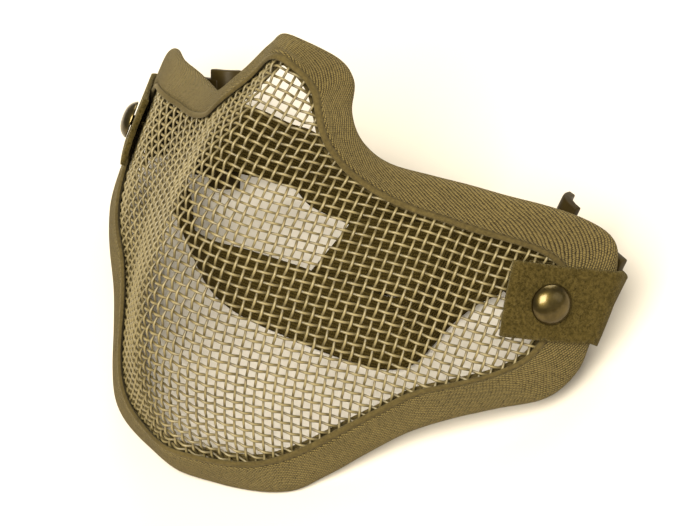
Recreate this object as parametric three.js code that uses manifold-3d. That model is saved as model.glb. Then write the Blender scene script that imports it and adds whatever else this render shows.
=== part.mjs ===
// Half-face mask of woven wire mesh with a folded fabric binding, two strap tabs, two domed rivets,
// two ladder-lock buckles and one elastic head strap. Millimetres.
//
// The mask is drawn as it is worn: X runs from the wearer's right to left, the face looks along -Y,
// Z is up and the origin lies under the chin. It is then leaned back until it rests on the chin's
// two corners and the buckles' lower prongs. The strap lies on that same surface.

import * as THREE from 'three';
import * as BufferGeometryUtils from 'three/addons/utils/BufferGeometryUtils.js';
import Module from 'manifold-3d';

const wasm = await Module();
wasm.setup();

// ---- driving dimensions ----

const MESH_THICK = 1.3;
const GAP = 0.3;
const FOLD_GAP = 0.4;
const TAPE_THICK = 1.0;
const LOOP_TAPE_THICK = 1.4;
const STRAP_WIDTH = 20;
const STRAP_THICK = 1.4;
const TAB_WIDTH = 19;
const TAB_HEIGHT = 70.3;
const TAB_FRONT_X = 62;
const TAB_SKEW = 1.1;
const TAB_BACK_X = 66;
const TAB_LANDING_X = 73.3;
const RIVET_X = 70.5;
const RIVET_RADIUS = 5.4;
const RIVET_RISE = 2.9;
const RIVET_BACK_RADIUS = 4.2;
const SHANK_RADIUS = 1.5;
const SHANK_HOLE_RADIUS = 1.9;
const BUCKLE_THICK = 2.6;
const LEAN = 38.5;
const CHIN_CONTACT = { y: -2, z: 8 };

const MESH_HALF = MESH_THICK / 2;
const BINDING_INNER = MESH_HALF + FOLD_GAP;
const BINDING_OUTER = BINDING_INNER + TAPE_THICK;
const TAB_INNER = BINDING_OUTER + GAP;
const TAB_OUTER = TAB_INNER + LOOP_TAPE_THICK;

// Depth of the pressed mesh behind the chin's plane: a row for each level, a column for each
// distance from the middle of the face.
const ACROSS = [0, 12, 26, 42, 60, 84];
const SECTIONS = [
  { level: -8, depth: [4, 4, 2, 4, 12, 19] },
  { level: 12, depth: [-16, -12, -5, 6, 17, 28] },
  { level: 32, depth: [-24, -20.5, -8, 7.5, 20, 37] },
  { level: 52, depth: [-24.5, -21.5, -8.5, 8.5, 21, 46] },
  { level: 72, depth: [-20, -17, -2, 12, 24, 54] },
  { level: 92, depth: [-13.5, -7.5, 9, 21, 32, 60] },
  { level: 112, depth: [-1.5, 11, 21, 31, 42, 64] },
  { level: 130, depth: [10, 22, 30, 38, 48, 67] },
];

// Outer edge of the binding and its inner lip, seen from the front, from the nose to the chin.
const RIM = [
  { x: 0, z: 121.2, lipX: 0, lipZ: 114.8 },
  { x: 7.7, z: 118.6, lipX: 3.8, lipZ: 113.2 },
  { x: 13.9, z: 113.2, lipX: 7.6, lipZ: 109.5 },
  { x: 17.5, z: 106, lipX: 11.5, lipZ: 104 },
  { x: 23, z: 99.5, lipX: 17.5, lipZ: 97 },
  { x: 29.5, z: 96, lipX: 25, lipZ: 90.5 },
  { x: 39, z: 95.2, lipX: 35, lipZ: 86.5 },
  { x: 52, z: 94.8, lipX: 48, lipZ: 84.8 },
  { x: 63.4, z: 93.9, lipX: 58.5, lipZ: 84 },
  { x: 71.8, z: 91.5, lipX: 65.5, lipZ: 82.5 },
  { x: 77.2, z: 87.5, lipX: 70, lipZ: 79.5 },
  { x: 79.5, z: 80.7, lipX: 71.9, lipZ: 75.5 },
  { x: 80.1, z: 71, lipX: 72.4, lipZ: 69.5 },
  { x: 80.2, z: 61.5, lipX: 72, lipZ: 62.5 },
  { x: 80.1, z: 53.2, lipX: 70, lipZ: 55.5 },
  { x: 76.6, z: 45.7, lipX: 65, lipZ: 50.3 },
  { x: 68, z: 41, lipX: 58, lipZ: 46 },
  { x: 59.5, z: 36, lipX: 50.5, lipZ: 41.5 },
  { x: 51.5, z: 30, lipX: 44, lipZ: 35 },
  { x: 44.5, z: 22.5, lipX: 38, lipZ: 28.5 },
  { x: 37.5, z: 14.5, lipX: 31, lipZ: 21 },
  { x: 30, z: 8, lipX: 23, lipZ: 15.5 },
  { x: 16, z: 4.5, lipX: 13, lipZ: 13 },
  { x: 0, z: 3, lipX: 0, lipZ: 12 },
];
const STEPS_PER_ROW = 2;
const MESH_EDGE = 0.2;
const FOLD_INSIDE = 0.13;
const MID_STRIP = 0.6;

// ---- curves and the face surface ----

// A smooth curve through values at rising knots, flat at the first knot where `level` is set.
function smooth(knots, values, at, level = false) {
  const last = knots.length - 1;
  let i = 0;
  while (i < last - 1 && at > knots[i + 1]) i += 1;
  const slope = (k) => {
    if (k === 0 && level) return 0;
    const before = Math.max(k - 1, 0);
    const after = Math.min(k + 1, last);
    return (values[after] - values[before]) / (knots[after] - knots[before]);
  };
  const span = knots[i + 1] - knots[i];
  const t = (at - knots[i]) / span;
  const t2 = t * t;
  const t3 = t2 * t;
  return (2 * t3 - 3 * t2 + 1) * values[i] + (t3 - 2 * t2 + t) * span * slope(i)
    + (3 * t2 - 2 * t3) * values[i + 1] + (t3 - t2) * span * slope(i + 1);
}

const LEVELS = SECTIONS.map((section) => section.level);

function depth(x, z) {
  const column = SECTIONS.map((section) => smooth(ACROSS, section.depth, Math.abs(x), true));
  return smooth(LEVELS, column, z);
}

// Unit normal of the face surface, pointing out of the mask.
function normalAt(x, z) {
  const step = 0.5;
  const alongX = (depth(x + step, z) - depth(x - step, z)) / (2 * step);
  const alongZ = (depth(x, z + step) - depth(x, z - step)) / (2 * step);
  return new THREE.Vector3(alongX, -1, alongZ).normalize();
}

function onFace(x, z, lift) {
  return new THREE.Vector3(x, depth(x, z), z).addScaledVector(normalAt(x, z), lift);
}

// Outlines in the front view at every station round the mask: nose, left side, chin, right side.
function outline(fieldX, fieldZ) {
  const rows = RIM.map((row, i) => i);
  const last = RIM.length - 1;
  const half = [];
  for (let k = 0; k <= last * STEPS_PER_ROW; k += 1) {
    const at = k / STEPS_PER_ROW;
    const x = smooth(rows, RIM.map((row) => row[fieldX]), at);
    const z = smooth(rows, RIM.map((row) => row[fieldZ]), at, true);
    half.push({ x: k === 0 || at === last ? 0 : x, z });
  }
  const mirrored = half.slice(1, -1).reverse().map((p) => ({ x: -p.x, z: p.z }));
  return half.concat(mirrored);
}

const RIM_LINE = outline('x', 'z');
const LIP_LINE = outline('lipX', 'lipZ');
const STATIONS = RIM_LINE.length;

// A point of the binding's strip: share 0 is the rim and 1 is the inner lip.
function onStrip(station, share, lift) {
  const rim = RIM_LINE[station];
  const lip = LIP_LINE[station];
  const x = rim.x + (lip.x - rim.x) * share;
  const z = rim.z + (lip.z - rim.z) * share;
  return onFace(x, z, lift);
}

// ---- solids from grids of points ----

function geometryOf(points, triangles) {
  const geometry = new THREE.BufferGeometry();
  geometry.setAttribute('position', new THREE.Float32BufferAttribute(
    points.flatMap((p) => [p.x, p.y, p.z]), 3));
  geometry.setIndex(triangles.flat());
  return geometry;
}

function outward(geometry) {
  const position = geometry.getAttribute('position');
  const index = geometry.getIndex();
  const [a, b, c] = [new THREE.Vector3(), new THREE.Vector3(), new THREE.Vector3()];
  let volume = 0;
  for (let i = 0; i < index.count; i += 3) {
    a.fromBufferAttribute(position, index.getX(i));
    b.fromBufferAttribute(position, index.getX(i + 1));
    c.fromBufferAttribute(position, index.getX(i + 2));
    volume += a.dot(b.cross(c));
  }
  if (volume < 0) {
    for (let i = 0; i < index.count; i += 3) {
      const kept = index.getX(i + 1);
      index.setX(i + 1, index.getX(i + 2));
      index.setX(i + 2, kept);
    }
  }
  return geometry;
}

// A ring of equal sections, joined each to the next, with the first after the last or end caps.
function sweep(sections, closed) {
  const count = sections[0].length;
  const points = sections.flat();
  const triangles = [];
  const spans = closed ? sections.length : sections.length - 1;
  for (let s = 0; s < spans; s += 1) {
    const next = (s + 1) % sections.length;
    for (let k = 0; k < count; k += 1) {
      const k2 = (k + 1) % count;
      const [a, b, c, d] = [s * count + k, s * count + k2, next * count + k2, next * count + k];
      triangles.push([a, b, c], [a, c, d]);
    }
  }
  if (!closed) {
    // a section is an outer row followed by an inner row run backwards, so the caps are strips
    const cap = (start, flip) => {
      for (let k = 0; k < count / 2 - 1; k += 1) {
        const [a, b] = [start + k, start + k + 1];
        const [c, d] = [start + count - 2 - k, start + count - 1 - k];
        triangles.push(flip ? [a, b, c] : [a, c, b], flip ? [a, c, d] : [a, d, c]);
      }
    };
    cap(0, false);
    cap((sections.length - 1) * count, true);
  }
  return outward(geometryOf(points, triangles));
}

function toSolid(geometry) {
  const bare = geometry.clone();
  bare.deleteAttribute('normal');
  bare.deleteAttribute('uv');
  const merged = BufferGeometryUtils.mergeVertices(bare, 1e-4);
  return new wasm.Manifold(new wasm.Mesh({
    numProp: 3,
    vertProperties: new Float32Array(merged.getAttribute('position').array),
    triVerts: new Uint32Array(merged.getIndex().array),
  }));
}

function fromSolid(solid) {
  const mesh = solid.getMesh();
  const geometry = new THREE.BufferGeometry();
  geometry.setAttribute('position', new THREE.Float32BufferAttribute(mesh.vertProperties, 3));
  geometry.setIndex(Array.from(mesh.triVerts));
  return geometry;
}

// ---- mesh shell ----

// Shares of the way from the inner lip to the middle of the mouth.
const SHELL_RINGS = [0, 0.14, 0.3, 0.46, 0.62, 0.8];
const MOUTH = { x: 0, z: 58 };

function shellPoint(station, ring, lift) {
  const lip = LIP_LINE[station];
  const x = lip.x + (MOUTH.x - lip.x) * ring;
  const z = lip.z + (MOUTH.z - lip.z) * ring;
  return onFace(x, z, lift);
}

function meshShell() {
  const points = [];
  const triangles = [];
  const rows = [MESH_EDGE, MID_STRIP];
  const side = (lift) => {
    const start = points.length;
    for (const share of rows) {
      for (let s = 0; s < STATIONS; s += 1) points.push(onStrip(s, share, lift));
    }
    for (const ring of SHELL_RINGS) {
      for (let s = 0; s < STATIONS; s += 1) points.push(shellPoint(s, ring, lift));
    }
    points.push(onFace(MOUTH.x, MOUTH.z, lift));
    return start;
  };
  const front = side(MESH_HALF);
  const back = side(-MESH_HALF);
  const rings = rows.length + SHELL_RINGS.length;
  for (let s = 0; s < STATIONS; s += 1) {
    const n = (s + 1) % STATIONS;
    for (let r = 0; r < rings - 1; r += 1) {
      const [a, b] = [r * STATIONS + s, r * STATIONS + n];
      const [c, d] = [b + STATIONS, a + STATIONS];
      triangles.push([front + a, front + b, front + c], [front + a, front + c, front + d]);
      triangles.push([back + a, back + c, back + b], [back + a, back + d, back + c]);
    }
    const [a, b] = [(rings - 1) * STATIONS + s, (rings - 1) * STATIONS + n];
    const middle = rings * STATIONS;
    triangles.push([front + a, front + b, front + middle], [back + a, back + middle, back + b]);
    triangles.push([front + s, back + s, front + n], [front + n, back + s, back + n]);
  }
  return outward(geometryOf(points, triangles));
}

// ---- edge binding ----

// The folded tape's section, as shares of the strip and lifts off the mesh's middle. ROLL rounds
// the fold at the rim.
const ROLL = { share: 0.04, lift: BINDING_OUTER * 0.75 };
const BINDING_SECTION = [
  { share: 1, lift: BINDING_OUTER },
  { share: MID_STRIP, lift: BINDING_OUTER },
  { share: MESH_EDGE, lift: BINDING_OUTER },
  { share: ROLL.share, lift: ROLL.lift },
  { share: 0, lift: 0 },
  { share: ROLL.share, lift: -ROLL.lift },
  { share: MESH_EDGE, lift: -BINDING_OUTER },
  { share: MID_STRIP, lift: -BINDING_OUTER },
  { share: 1, lift: -BINDING_OUTER },
  { share: 1, lift: -BINDING_INNER },
  { share: MID_STRIP, lift: -BINDING_INNER },
  { share: FOLD_INSIDE, lift: -BINDING_INNER },
  { share: FOLD_INSIDE, lift: BINDING_INNER },
  { share: MID_STRIP, lift: BINDING_INNER },
  { share: 1, lift: BINDING_INNER },
];

function edgeBinding() {
  const sections = [];
  for (let s = 0; s < STATIONS; s += 1) {
    sections.push(BINDING_SECTION.map((row) => onStrip(s, row.share, row.lift)));
  }
  return sweep(sections, true);
}

// ---- the ear end: tab, rivet and buckle of the left side ----

// The rows of the outline that make the ear's upright edge lie past this x and above this z.
const EAR = { x: 70, z: 50 };

function rimX(z) {
  const rows = RIM.filter((row) => row.x > EAR.x && row.z > EAR.z).reverse();
  return smooth(rows.map((row) => row.z), rows.map((row) => row.x), z);
}

// The ear end's own directions at the rim: out past the rim, out of the face, and up the rim.
function earFrame(z) {
  const x = rimX(z);
  const origin = onFace(x, z, 0);
  const face = normalAt(x, z);
  const up = onFace(rimX(z + 1), z + 1, 0).sub(onFace(rimX(z - 1), z - 1, 0)).normalize();
  const past = new THREE.Vector3().crossVectors(up, face).negate();
  if (past.x < 0) past.negate();
  return { origin, face, up, past: past.normalize() };
}

function pastRim(z, reach, lift) {
  const { origin, face, past } = earFrame(z);
  return origin.clone().addScaledVector(past, reach).addScaledVector(face, lift);
}

// How each buckle hangs in its tab's fold: where its bar's middle is from the rim, the bar's upward
// direction and the plate's inward one. Both rows are drawn on the left side.
const HANGS = {
  left: {
    past: 1.4, behind: 7.8, rise: 0.3, up: [0.24, 0.015, 0.97], inward: [-0.965, 0.11, 0.24] },
  right: {
    past: 3.5, behind: 7.6, rise: -0.8, up: [0.23, 0.03, 0.97], inward: [-0.94, -0.24, 0.23] },
};
const BAR_HALF = 1.3;
const BAR_CLEAR = 2.3;
const FOLD_STEPS = 8;
const RIM_STEPS = 3;
const RIM_ROUND = 1.75;
const RIM_MARGIN = 1.5;

// The buckle's own axes at its bar: x inward along the plate, y down the bar, z to the front.
function buckleFrame({ past, behind, rise, up, inward }) {
  const ear = earFrame(TAB_HEIGHT);
  const bar = pastRim(TAB_HEIGHT, past, -behind).addScaledVector(ear.up, rise);
  const upward = new THREE.Vector3(...up).normalize();
  const front = new THREE.Vector3().crossVectors(upward, new THREE.Vector3(...inward)).normalize();
  const along = new THREE.Vector3().crossVectors(front, upward);
  return new THREE.Matrix4().makeBasis(along, upward.negate(), front).setPosition(bar);
}

// The tab's way at one side of its thickness: along the face, round the rim, round the buckle's
// bar and back behind the mesh. `share` runs up its width from -1 to 1.
function tabOutline(share, outside, hang) {
  const z = TAB_HEIGHT + (TAB_WIDTH / 2) * share;
  const rim = rimX(z);
  const lift = outside ? TAB_OUTER : TAB_INNER;
  const round = outside ? BAR_CLEAR + LOOP_TAPE_THICK : BAR_CLEAR;
  const frame = buckleFrame(hang);
  const toBar = (p) => p.applyMatrix4(frame.clone().invert());
  const rimRound = toBar(pastRim(TAB_HEIGHT, -RIM_ROUND, 0));
  const landing = toBar(onFace(TAB_LANDING_X, TAB_HEIGHT, -TAB_INNER));
  const leaves = Math.atan2(-rimRound.z, -rimRound.x)
    - Math.acos((TAB_INNER - BAR_CLEAR) / Math.hypot(rimRound.x, rimRound.z));
  let lands = Math.atan2(landing.z, landing.x)
    - Math.acos(BAR_CLEAR / Math.hypot(landing.x, landing.z));
  while (lands < leaves) lands += 2 * Math.PI;
  const ear = earFrame(z);
  const off = new THREE.Vector3(Math.cos(leaves), 0, Math.sin(leaves)).transformDirection(frame);
  const turned = Math.atan2(off.dot(ear.face), off.dot(ear.past));
  const legs = 4;
  const points = [];
  const cut = TAB_FRONT_X + TAB_SKEW * (1 - share);
  for (let i = 0; i < legs; i += 1) {
    points.push(onFace(cut + ((rim - RIM_MARGIN - cut) * i) / legs, z, lift));
  }
  for (let i = 0; i <= RIM_STEPS; i += 1) {
    const turn = Math.PI / 2 + (turned - Math.PI / 2) * (i / RIM_STEPS);
    points.push(pastRim(z, -RIM_ROUND + lift * Math.cos(turn), lift * Math.sin(turn)));
  }
  for (let i = 0; i <= FOLD_STEPS; i += 1) {
    const turn = leaves + (lands - leaves) * (i / FOLD_STEPS);
    points.push(new THREE.Vector3(round * Math.cos(turn), (-TAB_WIDTH / 2) * share,
      round * Math.sin(turn)).applyMatrix4(frame));
  }
  for (let i = 0; i < legs; i += 1) {
    points.push(onFace(
      TAB_LANDING_X + ((TAB_BACK_X - TAB_LANDING_X) * i) / (legs - 1), z, -lift));
  }
  return points;
}

function strapTab(hang) {
  const sections = [];
  const levels = 5;
  for (let i = 0; i < levels; i += 1) {
    const share = (2 * i) / (levels - 1) - 1;
    const outer = tabOutline(share, true, hang);
    const inner = tabOutline(share, false, hang);
    sections.push(outer.concat(inner.reverse()));
  }
  return sweep(sections, false);
}

// Places a shape drawn round the Z axis on the rivet's line, Z pointing out of the face.
function onRivetLine(geometry) {
  const turned = new THREE.Quaternion().setFromUnitVectors(
    new THREE.Vector3(0, 0, 1), normalAt(RIVET_X, TAB_HEIGHT));
  const at = onFace(RIVET_X, TAB_HEIGHT, 0);
  geometry.applyQuaternion(turned);
  return geometry.translate(at.x, at.y, at.z);
}

const WASHER_THICK = 1;
const BRIM_THICK = 0.5;
const RIVET_SIDES = 24;

function rivet() {
  const seat = TAB_OUTER + GAP;
  const back = -seat - WASHER_THICK;
  const domeSteps = 6;
  const profile = [new THREE.Vector2(0, back), new THREE.Vector2(RIVET_BACK_RADIUS, back),
    new THREE.Vector2(RIVET_BACK_RADIUS, -seat), new THREE.Vector2(SHANK_RADIUS, -seat),
    new THREE.Vector2(SHANK_RADIUS, seat), new THREE.Vector2(RIVET_RADIUS, seat)];
  for (let i = 0; i < domeSteps; i += 1) {
    const turn = (Math.PI / 2) * (i / domeSteps);
    profile.push(new THREE.Vector2(
      RIVET_RADIUS * Math.cos(turn),
      seat + BRIM_THICK + (RIVET_RISE - BRIM_THICK) * Math.sin(turn)));
  }
  profile.push(new THREE.Vector2(0, seat + RIVET_RISE));
  const lathe = new THREE.LatheGeometry(profile, RIVET_SIDES);
  lathe.rotateX(Math.PI / 2);
  return onRivetLine(lathe);
}

const DRILL = { length: 14, sides: 16 };

function pierced(geometry) {
  const drill = new THREE.CylinderGeometry(
    SHANK_HOLE_RADIUS, SHANK_HOLE_RADIUS, DRILL.length, DRILL.sides);
  drill.rotateX(Math.PI / 2);
  return fromSolid(toSolid(geometry).subtract(toSolid(onRivetLine(drill))));
}

// ---- ladder-lock buckle ----

// Bars and slots across the buckle, measured from the middle of the tab's bar towards the strap.
const BUCKLE_HALF = 14;
const BUCKLE_LENGTH = 22;
const BUCKLE_START = -BAR_HALF;
const START_CORNER = 1.6;
const END_CORNER = { along: 4, across: 1.5 };
const SLOTS = [
  { from: BAR_HALF, to: 6, half: 11.1 },
  { from: 8, to: 11.2, half: 10.7 },
  { from: 13.7, to: 17, half: 10.6 },
];
const PRONG_HALF = 16.8;
// The grip's section as [along, proud]: it starts over the plate's last bar and curls back to a
// tip, and each bend is the corner that a curve rounds.
const GRIP = {
  from: 18.5,
  over: 1.1,
  under: -1.3,
  outerCurve: { from: 21.5, bend: [25.6, 0.2], to: [26.4, -4.6] },
  innerCurve: { from: [24.3, -5], bend: [23.6, -1.6], to: 20.5 },
};

function buckle(hang) {
  const plate = new THREE.Shape();
  plate.moveTo(BUCKLE_START, -BUCKLE_HALF + START_CORNER);
  plate.lineTo(BUCKLE_START + START_CORNER, -BUCKLE_HALF);
  plate.lineTo(BUCKLE_LENGTH - END_CORNER.along, -BUCKLE_HALF);
  plate.lineTo(BUCKLE_LENGTH, -BUCKLE_HALF + END_CORNER.across);
  plate.lineTo(BUCKLE_LENGTH, BUCKLE_HALF - END_CORNER.across);
  plate.lineTo(BUCKLE_LENGTH - END_CORNER.along, BUCKLE_HALF);
  plate.lineTo(BUCKLE_START + START_CORNER, BUCKLE_HALF);
  plate.lineTo(BUCKLE_START, BUCKLE_HALF - START_CORNER);
  plate.closePath();
  for (const slot of SLOTS) {
    const hole = new THREE.Path();
    hole.moveTo(slot.from, -slot.half);
    hole.lineTo(slot.to, -slot.half);
    hole.lineTo(slot.to, slot.half);
    hole.lineTo(slot.from, slot.half);
    hole.closePath();
    plate.holes.push(hole);
  }
  const body = new THREE.ExtrudeGeometry(plate, { depth: BUCKLE_THICK, bevelEnabled: false });
  body.translate(0, 0, -BUCKLE_THICK / 2);

  // the grip: a lip that curls back from the plate's end, wider than the plate at its two prongs
  const lip = new THREE.Shape();
  lip.moveTo(GRIP.from, GRIP.under);
  lip.lineTo(GRIP.from, GRIP.over);
  lip.lineTo(GRIP.outerCurve.from, GRIP.over);
  lip.quadraticCurveTo(...GRIP.outerCurve.bend, ...GRIP.outerCurve.to);
  lip.lineTo(...GRIP.innerCurve.from);
  lip.quadraticCurveTo(...GRIP.innerCurve.bend, GRIP.innerCurve.to, GRIP.under);
  lip.closePath();
  const grip = new THREE.ExtrudeGeometry(lip, {
    depth: 2 * PRONG_HALF, bevelEnabled: false, curveSegments: 5 });
  grip.rotateX(Math.PI / 2);
  grip.translate(0, PRONG_HALF, 0);
  const solid = toSolid(body).add(toSolid(grip));
  return fromSolid(solid).applyMatrix4(buckleFrame(hang));
}

// ---- resting place ----

// The worn mask leans back about its chin's corners.
const TO_REST = new THREE.Matrix4().makeRotationX(THREE.MathUtils.degToRad(-LEAN)).multiply(
  new THREE.Matrix4().makeTranslation(0, -CHIN_CONTACT.y, -CHIN_CONTACT.z));

function mirrored(geometry) {
  const copy = geometry.clone();
  copy.applyMatrix4(new THREE.Matrix4().makeScale(-1, 1, 1));
  return outward(copy);
}

// ---- head strap ----

// The strap's way through the buckle: along is from the tab's bar, proud is out of the plate.
const THREADED = [
  { along: 24, proud: 2.9 },
  { along: 19.5, proud: 2.8 },
  { along: 16.7, proud: 2.6 },
  { along: 15.4, proud: 1.2 },
  { along: 15.1, proud: -0.6 },
  { along: 14.4, proud: -2.4 },
  { along: 12.4, proud: -3.1 },
  { along: 10.4, proud: -2.4 },
  { along: 9.8, proud: -0.6 },
  { along: 9.8, proud: 1.2 },
  { along: 10, proud: 3.2 },
  { along: 10.6, proud: 5 },
];

// Where the strap lies on the surface: its middle line, and how far its width tips back from
// upright, in degrees. The left tail comes first, then the loop, then the right tail.
const LEFT_TAIL = [
  { x: -13.3, back: 64, lift: 6.7, tip: 55 },
  { x: 11.5, back: 71.3, lift: 7.8, tip: 54 },
  { x: 29.4, back: 78, lift: 10.3, tip: 50 },
  { x: 41.6, back: 83.6, lift: 14, tip: 44 },
];
const LOOP = [
  { x: 61.1, back: 77.4, lift: 19, tip: 38 },
  { x: 56, back: 78.6, lift: 20, tip: 41 },
  { x: 50, back: 79.9, lift: 20.6, tip: 43 },
  { x: 44.5, back: 79.4, lift: 18.8, tip: 42 },
  { x: 40.2, back: 76, lift: 15.8, tip: 35 },
  { x: 37, back: 70, lift: 13, tip: 24 },
  { x: 35, back: 63, lift: 11.3, tip: 14 },
  { x: 33.3, back: 54.5, lift: 10.6, tip: 20 },
  { x: 29.5, back: 49.9, lift: 9.5, tip: 35 },
  { x: 22, back: 48.2, lift: 8.9, tip: 40 },
  { x: 11, back: 46.8, lift: 8.8, tip: 40 },
  { x: -3, back: 46, lift: 8.8, tip: 38 },
  { x: -18, back: 44.6, lift: 9.5, tip: 28 },
  { x: -31, back: 44.4, lift: 10.4, tip: 10 },
  { x: -43, back: 48.7, lift: 10.8, tip: 0 },
  { x: -51.5, back: 56.6, lift: 11, tip: 2 },
  { x: -58.6, back: 65.7, lift: 12.4, tip: 14 },
  { x: -63.5, back: 72.1, lift: 15.1, tip: 31 },
];
const RIGHT_TAIL = [
  { x: -44.8, back: 82.4, lift: 16, tip: 30 },
  { x: -36.5, back: 85.1, lift: 12.9, tip: 18 },
  { x: -31, back: 86.4, lift: 11.3, tip: 24 },
  { x: -25, back: 85, lift: 9.8, tip: 30 },
  { x: -16, back: 84.8, lift: 9.6, tip: 30 },
  { x: -6, back: 84.6, lift: 9.7, tip: 28 },
  { x: 4, back: 84.8, lift: 10.1, tip: 22 },
  { x: 13, back: 85.5, lift: 10.5, tip: 14 },
  { x: 21, back: 86.6, lift: 10.8, tip: 8 },
];
const STRAP_STEPS = 2;

function headStrap() {
  // a row's place and its width's direction, from a buckle's own axes or from the surface
  const threaded = (hang, side) => THREADED.map((row) => {
    const frame = TO_REST.clone().multiply(buckleFrame(hang));
    const at = new THREE.Vector3(row.along, 0, row.proud).applyMatrix4(frame);
    const wide = new THREE.Vector3(0, -1, 0).transformDirection(frame);
    return [side * at.x, at.y, at.z, side * wide.x, wide.y, wide.z];
  });
  const laid = (rows) => rows.map(({ x, back, lift, tip }, i) => {
    const [before, after] = [rows[Math.max(i - 1, 0)], rows[Math.min(i + 1, rows.length - 1)]];
    const along = new THREE.Vector3(
      after.x - before.x, after.back - before.back, after.lift - before.lift).normalize();
    const turn = THREE.MathUtils.degToRad(tip);
    const wide = new THREE.Vector3(0, Math.sin(turn), Math.cos(turn));
    wide.addScaledVector(along, -wide.dot(along)).normalize();
    return [x, back, lift, wide.x, wide.y, wide.z];
  });
  const rows = [...laid(LEFT_TAIL), ...threaded(HANGS.left, 1), ...laid(LOOP),
    ...threaded(HANGS.right, -1).reverse(), ...laid(RIGHT_TAIL)];
  const knots = [0];
  for (let i = 1; i < rows.length; i += 1) {
    knots.push(knots[i - 1]
      + Math.hypot(...[0, 1, 2].map((axis) => rows[i][axis] - rows[i - 1][axis])));
  }
  const end = knots[knots.length - 1];
  const read = (s, first) => new THREE.Vector3(...[0, 1, 2].map(
    (axis) => smooth(knots, rows.map((row) => row[first + axis]), s)));
  const places = knots.slice(0, -1).flatMap((knot, i) => [...Array(STRAP_STEPS).keys()].map(
    (k) => knot + ((knots[i + 1] - knot) * k) / STRAP_STEPS));
  places.push(end);
  const nudge = 0.2;
  const sections = places.map((s) => {
    const along = read(Math.min(s + nudge, end), 0).sub(read(Math.max(s - nudge, 0), 0));
    const width = read(s, 3).setLength(STRAP_WIDTH / 2);
    const face = along.cross(width).setLength(STRAP_THICK / 2);
    const corner = (w, f) => read(s, 0).addScaledVector(width, w).addScaledVector(face, f);
    return [corner(1, 1), corner(-1, 1), corner(-1, -1), corner(1, -1)];
  });
  return sweep(sections, false);
}

// ---- materials and the assembly ----

const material = (color, roughness, metalness = 0) =>
  new THREE.MeshStandardMaterial({ color, roughness, metalness });

const mask = new THREE.Group();

function add(name, geometry, finish) {
  const mesh = new THREE.Mesh(geometry, finish);
  mesh.name = name;
  mask.add(mesh);
}

add('mesh_shell', pierced(mirrored(pierced(meshShell()))), material(0x9a8a5c, 0.5, 0.6));
add('edge_binding', edgeBinding(), material(0x6b5b31, 0.95));
add('strap_tab_left', pierced(strapTab(HANGS.left)), material(0x65562f, 1));
add('strap_tab_right', mirrored(pierced(strapTab(HANGS.right))), material(0x65562f, 1));
add('rivet_left', rivet(), material(0x5a4c26, 0.3, 0.8));
add('rivet_right', mirrored(rivet()), material(0x5a4c26, 0.3, 0.8));
add('buckle_left', buckle(HANGS.left), material(0x2a230f, 0.45));
add('buckle_right', mirrored(buckle(HANGS.right)), material(0x2a230f, 0.45));

mask.applyMatrix4(TO_REST);
const group = new THREE.Group();
group.add(mask);
const strap = new THREE.Mesh(headStrap(), material(0x35290f, 0.9));
strap.name = 'head_strap';
group.add(strap);

// The origin goes to the middle of the underside.
group.updateMatrixWorld(true);
const extent = new THREE.Box3().setFromObject(group, true);
const middle = extent.getCenter(new THREE.Vector3());
group.position.set(0, -middle.y, -extent.min.z);

export default group;
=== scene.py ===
# %% [markdown]
# # A half-face mask of woven wire
# The mask is a square of woven steel wire, pressed to the shape of a face and edged all round with a
# folded twill tape. Two tabs of loop tape are riveted to its ears, each holds a ladder-lock buckle,
# and one elastic strap runs between them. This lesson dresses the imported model: every piece of cloth
# and wire is made again in its own place, with its own weave.

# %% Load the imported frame
import bmesh
import bpy
import math
import numpy as np
from mathutils import Matrix, Vector


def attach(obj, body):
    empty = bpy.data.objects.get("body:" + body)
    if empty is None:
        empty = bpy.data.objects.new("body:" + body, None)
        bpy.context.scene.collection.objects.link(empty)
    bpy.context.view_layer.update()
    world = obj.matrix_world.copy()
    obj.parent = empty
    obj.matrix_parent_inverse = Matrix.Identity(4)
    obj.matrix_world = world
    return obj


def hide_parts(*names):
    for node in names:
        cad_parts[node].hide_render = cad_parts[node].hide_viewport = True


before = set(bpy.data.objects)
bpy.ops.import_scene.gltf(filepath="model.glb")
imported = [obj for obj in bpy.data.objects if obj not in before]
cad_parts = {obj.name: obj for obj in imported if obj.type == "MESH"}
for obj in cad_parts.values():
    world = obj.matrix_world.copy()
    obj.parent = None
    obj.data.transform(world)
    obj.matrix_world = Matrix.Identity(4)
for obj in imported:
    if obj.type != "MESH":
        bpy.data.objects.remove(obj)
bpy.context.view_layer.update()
print("packed nodes:", sorted(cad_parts))

# %% [markdown]
# ## The camera
# A long lens from the left front, well above the mask, keeps the far cheek nearly as large as the
# near one. The camera is set by where it stands, what it aims at and which way is up for it, which
# is easier to check than three angles. Up leans a little, which turns the mask slightly in the view.

# %% Camera
CAMERA_PLACE = Vector((0.4544, -0.3112, 0.6055))
CAMERA_AIM = Vector((0.01247, 0.01148, 0.02182))
CAMERA_UP = Vector((-0.341, 0.686, 0.642))
LENS_MM = 155.57
SENSOR_MM = 36

backward = (CAMERA_PLACE - CAMERA_AIM).normalized()
rightward = CAMERA_UP.cross(backward).normalized()
upward = backward.cross(rightward)
turn = Matrix((rightward, upward, backward)).transposed()
camera = bpy.data.objects.new("camera", bpy.data.cameras.new("camera"))
camera.data.lens = LENS_MM
camera.data.sensor_width = SENSOR_MM
camera.matrix_world = Matrix.Translation(CAMERA_PLACE) @ turn.to_4x4()
bpy.context.scene.collection.objects.link(camera)
bpy.context.scene.camera = camera
print("camera stands", round((CAMERA_PLACE - CAMERA_AIM).length, 3), "m away")

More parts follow.
